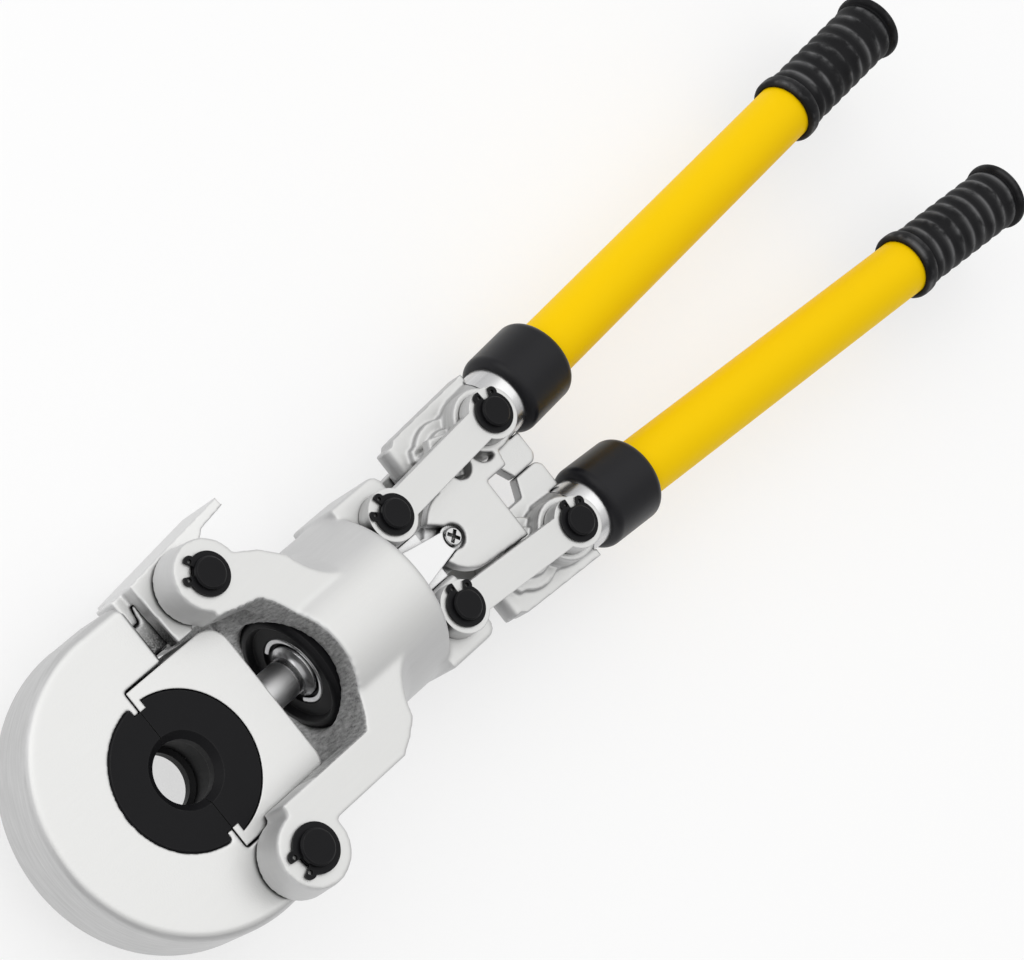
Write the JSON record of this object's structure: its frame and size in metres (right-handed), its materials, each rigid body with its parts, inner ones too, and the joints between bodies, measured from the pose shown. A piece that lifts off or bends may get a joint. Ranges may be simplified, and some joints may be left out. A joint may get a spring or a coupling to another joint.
{
  "type": "pex press tool",
  "caption": "Hand-lever press tool with a hinged, latched jaw, split dies driven by a ram, toggle links and long tube handles with ribbed grips.",
  "frame": {"origin": "on the press axis, at the middle of the dies' width", "axes": "+Z along the press axis and up as the tool lies, +Y from the dies to the handles, +X towards the jaw hinge"},
  "size_m": [0.1338, 0.5543, 0.0732],
  "materials": {
    "cast_steel": "satin",
    "plated_steel": "satin",
    "bright_steel": "polished",
    "black_steel": "satin",
    "black_plastic": "satin",
    "yellow_paint": "gloss",
    "grip_rubber": "matte"
  },
  "bodies": {
    "housing": {"housing": "cast_steel", "guide_bush": "black_steel", "retaining_ring": "bright_steel", "hinge_pin": "black_steel", "hinge_circlips": "black_steel", "latch_pin": "black_steel", "latch_circlips": "black_steel", "link_pins": "black_steel", "link_circlips": "black_steel"},
    "jaw": {"jaw_head": "cast_steel", "die_lower": "black_steel"},
    "latch": {"latch": "cast_steel"},
    "ram": {"ram": "bright_steel", "die_block": "plated_steel", "die_upper": "black_steel", "centre_pin": "bright_steel", "pin_screw": "bright_steel"},
    "left_handle": {"left_bracket": "cast_steel", "left_socket": "bright_steel", "left_collar": "black_plastic", "left_tube": "yellow_paint", "left_grip": "grip_rubber"},
    "right_handle": {"right_bracket": "cast_steel", "right_socket": "bright_steel", "right_collar": "black_plastic", "right_tube": "yellow_paint", "right_grip": "grip_rubber"},
    "left_link": {"left_link_front": "plated_steel", "left_link_back": "plated_steel", "left_handle_pin": "black_steel", "left_pin_circlips": "black_steel"},
    "right_link": {"right_link_front": "plated_steel", "right_link_back": "plated_steel", "right_handle_pin": "black_steel", "right_pin_circlips": "black_steel"}
  },
  "joints": [
    {"name": "jaw_hinge", "type": "hinge", "parent": "housing", "child": "jaw", "pos_m": [0.0494, 0.012, 0], "axis": [0, 0, 1], "range_deg": [0, 105]},
    {"name": "latch_pivot", "type": "hinge", "parent": "housing", "child": "latch", "pos_m": [-0.0494, 0.047, 0], "axis": [0, 0, -1], "range_deg": [0, 18]},
    {"name": "ram_slide", "type": "slide", "parent": "housing", "child": "ram", "axis": [0, 1, 0], "range_m": [0, 0.0118]},
    {"name": "left_handle_swing", "type": "hinge", "parent": "ram", "child": "left_handle", "pos_m": [0, 0.1495, 0], "axis": [0, 0, 1], "range_deg": [0, 25]},
    {"name": "right_handle_swing", "type": "hinge", "parent": "ram", "child": "right_handle", "pos_m": [0, 0.1495, 0], "axis": [0, 0, -1], "range_deg": [0, 25]},
    {"name": "left_link_swing", "type": "hinge", "parent": "housing", "child": "left_link", "pos_m": [-0.0217, 0.1285, 0], "axis": [0, 0, 1], "range_deg": [0, 15]},
    {"name": "right_link_swing", "type": "hinge", "parent": "housing", "child": "right_link", "pos_m": [0.0217, 0.1285, 0], "axis": [0, 0, -1], "range_deg": [0, 15]}
  ],
  "couplings": [
    {"joint": "ram_slide", "follows": "left_handle_swing", "m_per_rad": 0.02667},
    {"joint": "right_handle_swing", "follows": "left_handle_swing", "ratio": 1},
    {"joint": "left_link_swing", "follows": "left_handle_swing", "ratio": 0.592},
    {"joint": "right_link_swing", "follows": "left_handle_swing", "ratio": 0.592}
  ]
}
